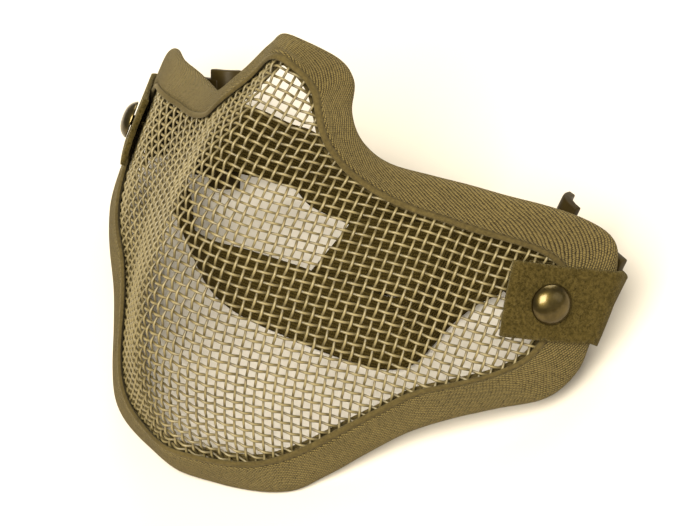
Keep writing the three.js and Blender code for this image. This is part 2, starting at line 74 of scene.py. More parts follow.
# %% [markdown]
# ## The shape of the face
# The wire was pressed over a form, so everything on the mask follows one smooth surface. It is kept
# as a small table in the worn position: how far back the surface lies, level by level, at six
# distances from the middle. A smooth curve runs through the numbers both ways. Distances here are in
# millimetres, X to the wearer's left, Y back and Z up, and one matrix leans the worn mask to rest.

# %% Face surface
MM = 0.001
ACROSS = [0, 12, 26, 42, 60, 84]
DEPTHS = {
    -8: [4, 4, 2, 4, 12, 19],
    12: [-16, -12, -5, 6, 17, 28],
    32: [-24, -20.5, -8, 7.5, 20, 37],
    52: [-24.5, -21.5, -8.5, 8.5, 21, 46],
    72: [-20, -17, -2, 12, 24, 54],
    92: [-13.5, -7.5, 9, 21, 32, 60],
    112: [-1.5, 11, 21, 31, 42, 64],
    130: [10, 22, 30, 38, 48, 67],
}
LEAN = math.radians(38.5)
CHIN_CONTACT = (0, -2, 8)
REST_SHIFT = (0, -45.632, 0.5136)
MIDDLE_LEVEL = 58
NORMAL_STEP = 0.5


def smooth(knots, values, at, level=False):
    """Reads a smooth curve through values at rising knots; level makes its start flat."""
    knots, values, at = (np.asarray(part, float) for part in (knots, values, at))
    gaps = np.diff(knots).reshape((-1,) + (1,) * (values.ndim - 1))
    steps = np.diff(values, axis=0)
    middle = (steps[1:] + steps[:-1]) / (gaps[1:] + gaps[:-1])
    start = 0 * steps[:1] if level else steps[:1] / gaps[:1]
    slopes = np.concatenate([start, middle, steps[-1:] / gaps[-1:]])
    i = np.clip(np.searchsorted(knots, at) - 1, 0, len(knots) - 2)
    span = knots[i + 1] - knots[i]
    t = (at - knots[i]) / span
    pick = (lambda rows, k: rows[k]) if values.ndim == 1 else (lambda rows, k: rows[k, np.arange(len(k))])
    rise = 3 * t**2 - 2 * t**3
    return ((1 - rise) * pick(values, i) + rise * pick(values, i + 1)
            + span * ((t**3 - 2 * t**2 + t) * pick(slopes, i) + (t**3 - t**2) * pick(slopes, i + 1)))


def depth(x, z):
    """How far back the pressed surface lies at x across and z up."""
    x, z = np.broadcast_arrays(np.asarray(x, float), np.asarray(z, float))
    column = np.stack([smooth(ACROSS, row, np.abs(x.ravel()), True) for row in DEPTHS.values()])
    return smooth(list(DEPTHS), column, z.ravel()).reshape(x.shape)


def unit(vectors):
    """The same directions at length one."""
    return vectors / np.linalg.norm(vectors, axis=-1, keepdims=True)


def face_normal(x, z):
    """Unit normals of the surface, pointing out of the mask."""
    along_x = (depth(x + NORMAL_STEP, z) - depth(x - NORMAL_STEP, z)) / (2 * NORMAL_STEP)
    along_z = (depth(x, z + NORMAL_STEP) - depth(x, z - NORMAL_STEP)) / (2 * NORMAL_STEP)
    return unit(np.stack([along_x, -np.ones_like(along_x), along_z], axis=-1))


def on_face(x, z, lift=0):
    """Points of the worn mask, lifted off the surface by lift."""
    x, z = np.broadcast_arrays(np.asarray(x, float), np.asarray(z, float))
    places = np.stack([x, depth(x, z), z], axis=-1)
    return places + np.expand_dims(np.broadcast_to(lift, x.shape), -1) * face_normal(x, z)


WORN_TO_REST = (Matrix.Translation(REST_SHIFT) @ Matrix.Rotation(-LEAN, 4, "X")
                @ Matrix.Translation([-part for part in CHIN_CONTACT]))


def at_rest(points):
    """Worn millimetres to metres in the resting frame."""
    lean = np.array(WORN_TO_REST)
    return (points @ lean[:3, :3].T + lean[:3, 3]) * MM


print("middle of the mesh rests at", at_rest(on_face(0, MIDDLE_LEVEL)).round(4))

# %% [markdown]
# ## The rim
# The edging has an outer line, the rim, and an inner one, the lip. Both are drawn from the front,
# nose to chin on one side, and mirrored. A station is a place along them, counted in table rows, and
# a share says how far in from the rim a point is. The stations are then spaced evenly by length, so
# that the weave of the tape keeps one scale all the way round.

# %% Rim and lip
RIM = [  # x and z of the rim, x and z of the lip
    (0, 121.2, 0, 114.8), (7.7, 118.6, 3.8, 113.2), (13.9, 113.2, 7.6, 109.5), (17.5, 106, 11.5, 104),
    (23, 99.5, 17.5, 97), (29.5, 96, 25, 90.5), (39, 95.2, 35, 86.5), (52, 94.8, 48, 84.8),
    (63.4, 93.9, 58.5, 84), (71.8, 91.5, 65.5, 82.5), (77.2, 87.5, 70, 79.5), (79.5, 80.7, 71.9, 75.5),
    (80.1, 71, 72.4, 69.5), (80.2, 61.5, 72, 62.5), (80.1, 53.2, 70, 55.5), (76.6, 45.7, 65, 50.3),
    (68, 41, 58, 46), (59.5, 36, 50.5, 41.5), (51.5, 30, 44, 35), (44.5, 22.5, 38, 28.5),
    (37.5, 14.5, 31, 21), (30, 8, 23, 15.5), (16, 4.5, 13, 13), (0, 3, 0, 12),
]
COLUMNS_LEVEL = (False, True, False, True)  # heights start level at the middle, so that both sides join
LAST_ROW = len(RIM) - 1
MIDDLE_SHARE = 0.4
RIM_SAMPLES = 1841


def strip(station, share):
    """Front-view x and z of a point of the edging: station runs 0 to 2 LAST_ROW, share 0 is the rim."""
    folded = LAST_ROW - np.abs(LAST_ROW - station)
    side = np.where(station > LAST_ROW, -1, 1)
    rows = np.arange(len(RIM))
    rim_x, rim_z, lip_x, lip_z = (
        smooth(rows, column, folded, level) for column, level in zip(zip(*RIM), COLUMNS_LEVEL))
    return side * (rim_x + (lip_x - rim_x) * share), rim_z + (lip_z - rim_z) * share


def run_of(points):
    """Length along a line of points, from its start."""
    gaps = np.linalg.norm(np.diff(points, axis=0), axis=-1)
    return np.concatenate([[0], np.cumsum(gaps)])


fine = np.linspace(0, 2 * LAST_ROW, RIM_SAMPLES)
rim_run = run_of(on_face(*strip(fine, MIDDLE_SHARE)))
EDGE_LENGTH = rim_run[-1]
print("edging runs", round(EDGE_LENGTH), "mm")


def stations(count):
    """Stations spaced evenly by length, the last back at the first."""
    return np.interp(np.linspace(0, EDGE_LENGTH, count + 1), rim_run, fine)


# %% [markdown]
# ## Cloth tape from a flat strip
# Cloth tape is a flat strip before it is sewn on, so each tape starts here as Blender's own grid, and
# the grid's points are then laid where the tape runs. The UV map keeps the flat strip's millimetres,
# so a weave drawn on it has the real scale. Solidify gives the thickness, as the strip has both sides.

# %% Tape from a grid
def object_from(bm, name, finish):
    """Ends a bmesh as a smooth-shaded object with one finish."""
    mesh = bpy.data.meshes.new(name)
    bm.to_mesh(mesh)
    bm.free()
    mesh.shade_smooth()
    mesh.materials.append(finish)
    made = bpy.data.objects.new(name, mesh)
    bpy.context.scene.collection.objects.link(made)
    return made


def piece_from(bm, name, finish):
    """Ends a bmesh as a piece that rides on the mask."""
    piece = object_from(bm, name, finish)
    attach(piece, "root")
    return piece


def add_modifier(piece, kind, **settings):
    """Adds a modifier that stays live, with its settings."""
    made = piece.modifiers.new(kind.lower(), kind)
    for name, value in settings.items():
        setattr(made, name, value)


GRID_HALF = 0.5
SEAM_WELD = 1e-6


def tape(name, points, finish, thick, closed=False):
    """A strip of cloth laid on points[along][across] in metres, its thickness behind that surface."""
    along, across = points.shape[0] - 1, points.shape[1] - 1
    bm = bmesh.new()
    flat_map = bm.loops.layers.uv.new("flat")
    bmesh.ops.create_grid(bm, x_segments=along, y_segments=across, size=GRID_HALF)
    u_run = run_of(points.mean(axis=1)) / MM
    v_run = run_of(points[along // 3]) / MM
    places = {}
    for vert in bm.verts:
        places[vert] = round((vert.co.x + GRID_HALF) * along), round((vert.co.y + GRID_HALF) * across)
    for face in bm.faces:
        for corner in face.loops:
            i, j = places[corner.vert]
            corner[flat_map].uv = u_run[i], v_run[j]
    for vert, (i, j) in places.items():
        vert.co = points[i, j]
    if closed:
        bmesh.ops.remove_doubles(bm, verts=bm.verts, dist=SEAM_WELD)
    piece = piece_from(bm, name, finish)
    add_modifier(piece, "SOLIDIFY", thickness=thick * MM, offset=-1, use_even_offset=True)
    print(name, "is", round(v_run[-1], 1), "mm wide and", round(u_run[-1]), "mm long, flat")
    return piece


# %% [markdown]
# ## Shader maths
# A material is easier to read as sums than as wires between boxes. This small class wraps a node's
# output: adding or multiplying two of them makes the Math node, and one method makes any other node.

# %% Shader maths
class Shade:
    """An output of a material's node tree, with arithmetic."""

    def __init__(self, tree, socket=None):
        self.tree, self.socket = tree, socket

    def node(self, kind, settings=None, inputs=None, output=0):
        """Any node: its settings first, then the values or links of its sockets."""
        made = self.tree.nodes.new(kind)
        for name, value in (settings or {}).items():
            setattr(made, name, value)
        for name, value in (inputs or {}).items():
            if isinstance(value, Shade):
                self.tree.links.new(value.socket, made.inputs[name])
            else:
                made.inputs[name].default_value = value
        return Shade(self.tree, made.outputs[output])

    def math(self, operation, *values):
        return self.node("ShaderNodeMath", {"operation": operation}, dict(enumerate(values)))

    def __add__(self, other):
        return self.math("ADD", self, other)

    def __sub__(self, other):
        return self.math("SUBTRACT", self, other)

    def __rsub__(self, other):
        return self.math("SUBTRACT", other, self)

    def __mul__(self, other):
        return self.math("MULTIPLY", self, other)

    def __truediv__(self, other):
        return self.math("DIVIDE", self, other)

    __radd__, __rmul__ = __add__, __mul__

    def between(self, low, high):
        """0 below low, 1 above high, smooth between."""
        return self.node("ShaderNodeMapRange", {"interpolation_type": "SMOOTHSTEP"},
                         {"Value": self, "From Min": low, "From Max": high})

    def cords(self):
        """Round-topped cords, one for each whole number."""
        swing = self.math("FRACT", self) * 2 - 1
        return 1 - swing * swing

    def flat_tape(self):
        """Millimetres along and across a tape, from its flat map."""
        flat = self.node("ShaderNodeUVMap", {"uv_map": "flat"})
        along = self.node("ShaderNodeSeparateXYZ", {}, {"Vector": flat})
        return along, Shade(self.tree, along.socket.node.outputs["Y"])

    def noise(self, where, scale, detail=3, roughness=0.55):
        return self.node("ShaderNodeTexNoise", {"noise_dimensions": "3D"},
                         {"Vector": where, "Scale": scale, "Detail": detail, "Roughness": roughness})

    def mix(self, low, high):
        """A colour from low to high by this value."""
        made = self.tree.nodes.new("ShaderNodeMix")
        made.data_type = "RGBA"
        sockets = {socket.name: socket for socket in made.inputs if socket.enabled}
        self.tree.links.new(self.socket, sockets["Factor"])
        sockets["A"].default_value = (*low, 1)
        sockets["B"].default_value = (*high, 1)
        return Shade(self.tree, next(out for out in made.outputs if out.enabled))


def new_finish(name, **constants):
    """A material, a start for its maths, and its main shader with the constants set."""
    finish = bpy.data.materials.new(name)
    finish.use_nodes = True
    tree = finish.node_tree
    shader = tree.nodes["Principled BSDF"]
    for socket, value in constants.items():
        shader.inputs[socket.replace("_", " ")].default_value = value
    print("finish", name, "starts with", len(constants), "constants")
    return finish, Shade(tree), shader


def feed(shader, start, height=None, distance=0.1, **links):
    """Links varying values to the shader, and height in millimetres to its normal."""
    for socket, value in links.items():
        start.tree.links.new(value.socket, shader.inputs[socket.replace("_", " ")])
    if height is not None:
        bump = start.node("ShaderNodeBump", {}, {"Height": height, "Distance": distance * MM})
        start.tree.links.new(bump.socket, shader.inputs["Normal"])


# %% [markdown]
# ## Painted wire
# The wire is steel under a thick tan paint. Its colour carries a painted highlight where a wire bulges
# and painted shade down in the crossings: the weave stores each point's height as an attribute named
# crest, and the paint reads it. Noise on Object coordinates breaks up the colour and the gloss over a few
# wires.

# %% Wire paint
# The dark end is painted shade for the crossings and the pale end a painted highlight for the crests; a
# quarter of the mix is random tone.
PAINT_SHADE_DARK, PAINT_HIGHLIGHT_PALE = (0.044, 0.031, 0.008), (0.228, 0.181, 0.081)

wire_paint, start, shader = new_finish("wire_paint", IOR=1.5)
where = start.node("ShaderNodeTexCoord", output="Object")
patches = start.noise(where, scale=90, detail=3)
specks = start.noise(where, scale=1600, detail=2)
crest = start.node("ShaderNodeAttribute", {"attribute_name": "crest"}, output="Fac")
tone = (patches * 0.7 + specks * 0.3).between(0.35, 0.65)
# Colour: three quarters painted highlight and painted shade from the crest height, one quarter random tone.
feed(shader, start, height=specks, distance=0.05,
     Base_Color=(tone * 0.25 + crest * 0.75).mix(PAINT_SHADE_DARK, PAINT_HIGHLIGHT_PALE),
     Roughness=0.33 + 0.2 * patches)

# %% [markdown]
# ## The woven wire
# Real wire mesh is woven flat, cut and then pressed. The script goes the same way: straight tubes
# with a gentle over-and-under wave are laid in a flat lattice, each cut where it meets the cut line
# under the edging, and the whole flat mesh is then pressed onto the face surface. Pressing slants
# the squares but does not stretch the wire, so each crossing must stay one pitch from its two
# neighbours. The first row and the middle column are laid by length, and every further crossing is
# found on the surface from the two before it. A net like that droops beside the nose as wire does.

# %% Net of crossings
PITCH = 2.54
DROOP = 0.15
DROOP_START = 8
NET_ACROSS, NET_UP, NET_DOWN = 38, 30, 30
FAR_X, LOW_Z, HIGH_Z = 95, -14, 136
REACH, REACH_SAMPLES = 110, 1101
SOLVER_ROUNDS = 10
LONGEST_STEP = 1
NUDGE = 0.001


def carried_on(x, z):
    """Points of the surface, carried on past the table's ends."""
    held = on_face(np.clip(x, -FAR_X, FAR_X), np.clip(z, LOW_Z, HIGH_Z))
    return np.stack([x, held[..., 1], z], axis=-1)


def quarter_net(row, column_z):
    """Front-view x and z of the crossings in a quarter of the net, from its first row and column."""
    net = np.zeros((2, row.shape[1], len(column_z)))
    net[:, :, 0] = row
    net[1, 0, :] = column_z
    across, up = net.shape[1:]
    for diagonal in range(2, across + up - 1):
        i = np.arange(max(1, diagonal - up + 1), min(diagonal - 1, across - 1) + 1)
        j = diagonal - i
        guess = net[:, i - 1, j] + net[:, i, j - 1] - net[:, i - 1, j - 1]
        posts = np.stack([carried_on(*net[:, i - 1, j]), carried_on(*net[:, i, j - 1])])
        for _ in range(SOLVER_ROUNDS):
            here = carried_on(*guess)
            nudged = [carried_on(guess[0] + NUDGE, guess[1]), carried_on(guess[0], guess[1] + NUDGE)]
            away = here - posts
            miss = (away**2).sum(axis=-1) - PITCH**2
            pull = 2 * np.einsum("pnc,qnc->npq", away, (np.stack(nudged) - here) / NUDGE)
            step = np.linalg.solve(pull, miss.T[..., None])[..., 0].T
            guess = guess - np.clip(step, -LONGEST_STEP, LONGEST_STEP)
        net[:, i, j] = guess
    return net


reach = np.linspace(0, REACH, REACH_SAMPLES)
guide_z = MIDDLE_LEVEL - DROOP * (np.hypot(reach, DROOP_START) - DROOP_START)
first_x = np.interp(np.arange(NET_ACROSS + 1) * PITCH, run_of(carried_on(reach, guide_z)), reach)
first_row = np.stack([first_x, np.interp(first_x, reach, guide_z)])
quarters = []
for direction, count in ((-1, NET_DOWN), (1, NET_UP)):
    column = MIDDLE_LEVEL + direction * reach
    levels = np.interp(np.arange(count + 1) * PITCH, run_of(carried_on(0 * reach, column)), column)
    quarters.append(quarter_net(first_row, levels))
half_net = np.concatenate([quarters[0][:, :, :0:-1], quarters[1]], axis=-1)
print("net of", half_net.shape[1:], "crossings")
print("the widest mesh is", np.diff(half_net[0], axis=0).max().round(2), "mm from the front")

# %% Press and unpress
CUT_SHARE = 0.34
CUT_STEPS = 600
UNPRESS_ROUNDS = 40


def read_net(across, up):
    """Front-view x and z at a fractional count of wires across from the middle and up from the bottom."""
    i = np.clip(across.astype(int), 0, half_net.shape[1] - 2)
    j = np.clip(up.astype(int), 0, half_net.shape[2] - 2)
    low = half_net[:, i, j] + (half_net[:, i + 1, j] - half_net[:, i, j]) * (across - i)
    high = half_net[:, i, j + 1] + (half_net[:, i + 1, j + 1] - half_net[:, i, j + 1]) * (across - i)
    return low + (high - low) * (up - j)


def press(flat):
    """Flat lattice millimetres (across, up, lift) to worn places."""
    x, z = read_net(np.abs(flat[:, 0]) / PITCH, flat[:, 1] / PITCH + NET_DOWN)
    return on_face(np.sign(flat[:, 0]) * x, z, flat[:, 2])


def unpress(x, z):
    """Front-view x and z to flat lattice millimetres, by steps that close in on the place."""
    across, up = np.abs(x) / PITCH, (z - MIDDLE_LEVEL) / PITCH + NET_DOWN
    for _ in range(UNPRESS_ROUNDS):
        found_x, found_z = read_net(across, up)
        across = across + (np.abs(x) - found_x) / PITCH
        up = up + (z - found_z) / PITCH
    return np.sign(x) * across * PITCH, (up - NET_DOWN) * PITCH


cut_line = np.stack(unpress(*strip(stations(CUT_STEPS), CUT_SHARE)), axis=-1)
print("the flat mesh is cut", np.ptp(cut_line, axis=0).round(), "mm wide and high")

# %% Flat wires
WIRE_RADIUS = 0.37
WAVE = 0.36
WIRE_SIDES = 6
CUTS_PER_PITCH = 4
LYING = (Matrix(((0, 0, 1), (1, 0, 0), (0, 1, 0))), Matrix(((1, 0, 0), (0, 0, 1), (0, -1, 0))))


def runs(axis, at):
    """Where a straight wire at `at` enters and leaves the cut line, in pairs."""
    ahead, behind = cut_line[1:], cut_line[:-1]
    crosses = (behind[:, 1 - axis] > at) != (ahead[:, 1 - axis] > at)
    a, b = behind[crosses], ahead[crosses]
    share = (at - a[:, 1 - axis]) / (b[:, 1 - axis] - a[:, 1 - axis])
    hits = np.sort(a[:, axis] + (b[:, axis] - a[:, axis]) * share)
    return [(low, high) for low, high in zip(hits[::2], hits[1::2]) if high - low > PITCH]


def flat_wire(whole, axis, number):
    """Adds a wire's pieces to the flat lattice: axis 0 runs across, 1 runs up."""
    at = number * PITCH
    length = 0
    for low, high in runs(axis, at):
        bm = bmesh.new()
        bmesh.ops.create_cone(bm, cap_ends=True, segments=WIRE_SIDES, radius1=WIRE_RADIUS,
                              radius2=WIRE_RADIUS, depth=high - low)
        long_edges = [edge for edge in bm.edges if abs(edge.verts[0].co.z - edge.verts[1].co.z) > PITCH / 2]
        bmesh.ops.subdivide_edges(bm, edges=long_edges, cuts=round(CUTS_PER_PITCH * (high - low) / PITCH))
        bmesh.ops.transform(bm, verts=bm.verts, matrix=LYING[axis].to_4x4())
        for vert in bm.verts:
            vert.co[axis] += (low + high) / 2
            over = math.cos(math.pi * (vert.co[axis] / PITCH + number))
            vert.co.z += WAVE * over * (1 if axis == 0 else -1)
            vert.co[1 - axis] += at
        part = bpy.data.meshes.new("part")
        bm.to_mesh(part)
        bm.free()
        whole.from_mesh(part)
        bpy.data.meshes.remove(part)
        length += high - low
    return length


# %% Weave, cut and press
MOST_ACROSS, MOST_UP = 40, 60


def pressed_wires(name, axis, most):
    """All the wires of one direction, up to most on either side of the middle, as one piece."""
    whole = bmesh.new()
    length = sum(flat_wire(whole, axis, number) for number in range(-most, most + 1))
    # Height in the weave, which the paint turns into painted highlight on the crests and painted shade in
    # the crossings.
    crest = whole.verts.layers.float.new("crest")
    flat = np.array([vert.co for vert in whole.verts])
    for vert, place, height in zip(whole.verts, at_rest(press(flat)), np.abs(flat[:, 2])):
        vert.co = place
        vert[crest] = height / (WAVE + WIRE_RADIUS)
    piece = piece_from(whole, name, wire_paint)
    print(name, "hold", round(length / 1000, 2), "m of wire in", len(piece.data.polygons), "faces")
    return piece


wires_across = pressed_wires("wires_across", 0, MOST_ACROSS)
pressed_wires("wires_up", 1, MOST_UP)
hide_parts("mesh_shell")

# %% [markdown]
# ## The folded edging's shape
# The edging is one tape folded over the cut wires. Its section is a short table, from the rolled
# selvedge at the front lip, through a groove where the tape was stitched down, over the soft outer
# fold, and back again behind. The same section is set at every station round the mask.

# %% Edging shape
BINDING = [  # share of the way in, millimetres further in, lift off the mesh: front lip to outer fold
    (1, 0.1, 1.25), (1, 0.2, 1.55), (1, 0.1, 1.85), (1, -0.3, 2.1), (1, -0.8, 2.12), (1, -1.25, 1.95),
    (1, -1.6, 1.6), (1, -1.95, 1.72), (1, -2.5, 2.0), (0.6, 0, 2.16), (0.45, 0, 2.2), (0.3, 0, 2.16),
    (0.2, 0, 2.05), (0.12, 0, 1.8), (0.05, 0, 1.3), (0.01, 0, 0.65), (0, 0, 0),
]
GROOVE_ROW, GROOVE_INWARD, GROOVE_LIFT = 6, -1.6, 1.6
EDGE_STEPS = 720
SECTION_STEPS = 2


def edge_places(places, share, inward, lift):
    """Resting places on the edging, a row for each station and a column for each share."""
    width = np.linalg.norm(on_face(*strip(places, 1)) - on_face(*strip(places, 0)), axis=-1)
    shares = share[None, :] + inward[None, :] / width[:, None]
    station = np.repeat(places[:, None], len(share), axis=1)
    x, z = strip(station.ravel(), shares.ravel())
    lifts = np.broadcast_to(lift, shares.shape).ravel()
    return at_rest(on_face(x, z, lifts)).reshape(*shares.shape, 3)


section = np.array(BINDING + [(share, inward, -lift) for share, inward, lift in BINDING[-2::-1]], float)
section_at = np.linspace(0, len(section) - 1, SECTION_STEPS * (len(section) - 1) + 1)
edge_points = edge_places(stations(EDGE_STEPS), *(
    smooth(np.arange(len(section)), column, section_at) for column in section.T))
section_run = run_of(edge_points[EDGE_STEPS // 3])
FOLDED_WIDTH = section_run[-1] / MM
SELVEDGE = section_run[SECTION_STEPS * GROOVE_ROW] / MM
print("the tape is", round(FOLDED_WIDTH, 1), "mm wide when flat, its selvedge", round(SELVEDGE, 1), "mm")

# %% [markdown]
# ## Twill
# The tape is a cotton twill, so its ribs run slanting along it, close together, with a dark line
# between each pair and the crossing yarn showing as short dashes on the ribs. Real ribs are not
# ruled: a slow noise bends the count, so each rib swells and thins. The selvedge is plain and a
# little lighter, so the ribs fade out at the groove, which is darkened with painted shade. The slant,
# the dashes and the fade are all drawn from the tape's own UV map, and drive the bump and the colour
# together.

# %% Twill finish
RIB_PITCH = 0.66
RIB_SLANT = math.radians(27)
DASH_PITCH = 0.6
RIB_BASE, DASH_RISE = 0.34, 0.8
PLAIN_LEVEL, PLAIN_ROUGH = 0.42, 0.35
RIBS_FROM, RIBS_FULL = -0.1, 0.35
GROOVE_HALF, GROOVE_FADE, GROOVE_SHADE = 0.1, 0.42, 0.14
TWILL_DARK, TWILL_PALE = (0.010, 0.006, 0.001), (0.142, 0.105, 0.035)

twill, start, shader = new_finish("twill", Roughness=0.95, Sheen_Weight=0.12, Sheen_Roughness=0.5,
                                  Sheen_Tint=(0.9, 0.75, 0.45, 1), Specular_IOR_Level=0.15)
along, across = start.flat_tape()
where = start.node("ShaderNodeTexCoord", output="Object")
fuzz = start.noise(where, scale=2600, detail=2)
wander = start.noise(where, scale=260, detail=2)
tangle = start.noise(where, scale=1150, detail=2)
patches = start.noise(where, scale=60, detail=3)
from_lip = across.math("MINIMUM", across, FOLDED_WIDTH - across)
ribbed = from_lip.between(SELVEDGE + RIBS_FROM, SELVEDGE + RIBS_FULL)
from_groove = from_lip - SELVEDGE
groove = 1 - from_groove.math("ABSOLUTE", from_groove).between(GROOVE_HALF, GROOVE_FADE)
rib_count = (across * math.cos(RIB_SLANT) + along * math.sin(RIB_SLANT)) / RIB_PITCH + wander * 0.9
ribs = rib_count.cords()
rib_run = along * math.cos(RIB_SLANT) - across * math.sin(RIB_SLANT)
dashes = (rib_run / DASH_PITCH + rib_count.math("FLOOR", rib_count) * 0.5 + tangle * 1.2).cords()
rough = (fuzz - 0.5) * 0.5 + (tangle - 0.5) * 0.9
weave = ribs * (RIB_BASE + dashes * DASH_RISE) + rough
plain = PLAIN_LEVEL + rough * PLAIN_ROUGH
cloth = plain + (weave - plain) * ribbed
# The groove's darkening is painted shade in the stitched recess.
tone = (cloth + (patches - 0.5) * 0.2 - groove * GROOVE_SHADE).between(0.05, 0.95)
feed(shader, start, height=cloth, distance=0.3, Base_Color=tone.mix(TWILL_DARK, TWILL_PALE))

# %% Edging
TAPE_THICK = 0.9

edging = tape("edging", edge_points, twill, TAPE_THICK, closed=True)
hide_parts("edge_binding")

# %% [markdown]
# ## Stitching
# A single line of thread holds the tape down in the groove, front and back. Each stitch is a small
# long bead lying along the groove, sunk halfway in. Beads repeat some hundreds of times, so each is
# a sphere of a few dozen faces, stretched and turned to the groove's way.

# %% Thread finish
THREAD_DARK, THREAD_PALE = (0.036, 0.026, 0.007), (0.082, 0.062, 0.023)

thread, start, shader = new_finish("thread", Roughness=0.8, Specular_IOR_Level=0.2)
where = start.node("ShaderNodeTexCoord", output="Object")
strand = start.noise(where, scale=1500, detail=2)
feed(shader, start, Base_Color=strand.mix(THREAD_DARK, THREAD_PALE))

# %% Stitches
STITCH_PITCH = 2.6
STITCH_LENGTH = 2.0
THREAD_RADIUS = 0.13


def stitch_line(name, side):
    """A bead for each stitch round the mask; side is 1 in front and -1 behind."""
    count = round(EDGE_LENGTH / STITCH_PITCH)
    lift = side * (GROOVE_LIFT + THREAD_RADIUS / 2)
    groove = (np.array([value]) for value in (1, GROOVE_INWARD, lift))
    groove_line = edge_places(stations(count), *groove)[:, 0]
    size = Matrix.Diagonal((THREAD_RADIUS * MM, THREAD_RADIUS * MM, STITCH_LENGTH / 2 * MM, 1))
    bm = bmesh.new()
    for here, ahead in zip(groove_line, groove_line[1:]):
        turned = Vector(ahead - here).to_track_quat("Z", "Y").to_matrix().to_4x4()
        bmesh.ops.create_uvsphere(bm, u_segments=6, v_segments=5, radius=1,
                                  matrix=Matrix.Translation(here) @ turned @ size)
    print(name, "has", count, "stitches")
    piece_from(bm, name, thread)


stitch_line("stitches_front", 1)
stitch_line("stitches_back", -1)

# %% [markdown]
# ## The ear end
# The tab, the rivet and the buckle hang together at the rim, so they share directions: past the rim,
# out of the face, and up the rim. The buckle has axes of its own at its bar: inward along its plate,
# down the bar, and to the front. Everything is drawn on the left side and mirrored for the right.

# %% Ear directions
TAB_WIDTH = 19
TAB_HEIGHT = 70.3
HANGS = {
    "left": dict(past=1.4, behind=7.8, rise=0.3, up=(0.24, 0.015, 0.97), inward=(-0.965, 0.11, 0.24)),
    "right": dict(past=3.5, behind=7.6, rise=-0.8, up=(0.23, 0.03, 0.97), inward=(-0.94, -0.24, 0.23)),
}
MIRROR = {"left": Matrix.Identity(4), "right": Matrix.Diagonal((-1, 1, 1, 1))}
EAR_BEYOND, EAR_ABOVE = 70, 50
ear_rows = [row for row in RIM if row[0] > EAR_BEYOND and row[1] > EAR_ABOVE][::-1]


def ear_x(z):
    """How far out the ear's rim is at a level."""
    return smooth([row[1] for row in ear_rows], [row[0] for row in ear_rows], z)


def ear_frame(z):
    """The rim's place at a level, with the directions past the rim, out of the face and up the rim."""
    origin = on_face(ear_x(z), z)
    out = face_normal(ear_x(z), z)
    up = unit(on_face(ear_x(z + 1), z + 1) - on_face(ear_x(z - 1), z - 1))
    past = unit(np.cross(out, up))
    return origin, past * np.sign(past[..., :1]), out, up


def past_rim(z, past_by, lift):
    """A place past the ear's rim by past_by, lifted off the face by lift."""
    origin, past, out, _ = ear_frame(z)
    return origin + past_by * past + lift * out


def buckle_frame(hang):
    """The buckle's axes and place at its bar, as a matrix in worn millimetres."""
    up = unit(np.array(hang["up"]))
    front = unit(np.cross(up, hang["inward"]))
    bar = past_rim(TAB_HEIGHT, hang["past"], -hang["behind"]) + hang["rise"] * ear_frame(TAB_HEIGHT)[3]
    made = Matrix.Identity(4)
    for column, axis in enumerate((np.cross(front, up), -up, front, bar)):
        made.col[column][:3] = axis
    return made


def for_side(points, side):
    """Worn points of the left side, mirrored for the right."""
    return points @ np.array(MIRROR[side].to_3x3())


print("left buckle's bar rests at", at_rest(np.array(buckle_frame(HANGS["left"]).translation)).round(4))

# %% [markdown]
# ## Loop-tape tabs
# Each tab is a short length of loop tape: from the face it goes round the rim, round the buckle's
# bar and back behind the mesh, where the rivet clamps both ends. The way is drawn as two arcs joined
# by straight runs. Its surface is a soft pile of tiny loops, mottled where the pile lies different
# ways, so the finish is built from noise at three sizes and a velvet sheen.

# %% Loop tape finish
LOOP_DARK, LOOP_PALE = (0.020, 0.014, 0.002), (0.070, 0.050, 0.014)

loop, start, shader = new_finish("loop_tape", Roughness=1.0, Sheen_Weight=0.15, Sheen_Roughness=0.4,
                                 Sheen_Tint=(0.9, 0.75, 0.4, 1), Specular_IOR_Level=0.05)
where = start.node("ShaderNodeTexCoord", output="Object")
pile = start.noise(where, scale=2400, detail=2, roughness=0.7)
tufts = start.noise(where, scale=1050, detail=3, roughness=0.65)
patches = start.noise(where, scale=170, detail=3, roughness=0.6)
tone = (pile * 0.35 + tufts * 0.55 + patches * 0.15).between(0.36, 0.70)
feed(shader, start, height=pile * 0.7 + tufts * 0.9, distance=0.6,
     Base_Color=tone.mix(LOOP_DARK, LOOP_PALE))

# %% Tabs
TAB_FRONT_X, TAB_BACK_X, TAB_LANDING_X = 62, 66, 73.3
TAB_SKEW = 1.1
TAB_INNER, TAB_OUTER = 2.35, 3.75
BAR_CLEAR = 2.3
RIM_ROUND = 1.75
RIM_MARGIN = 1.5
FRONT_POINTS, RIM_POINTS, BAR_POINTS, BACK_POINTS = 12, 9, 25, 8
TAB_LINES = 15


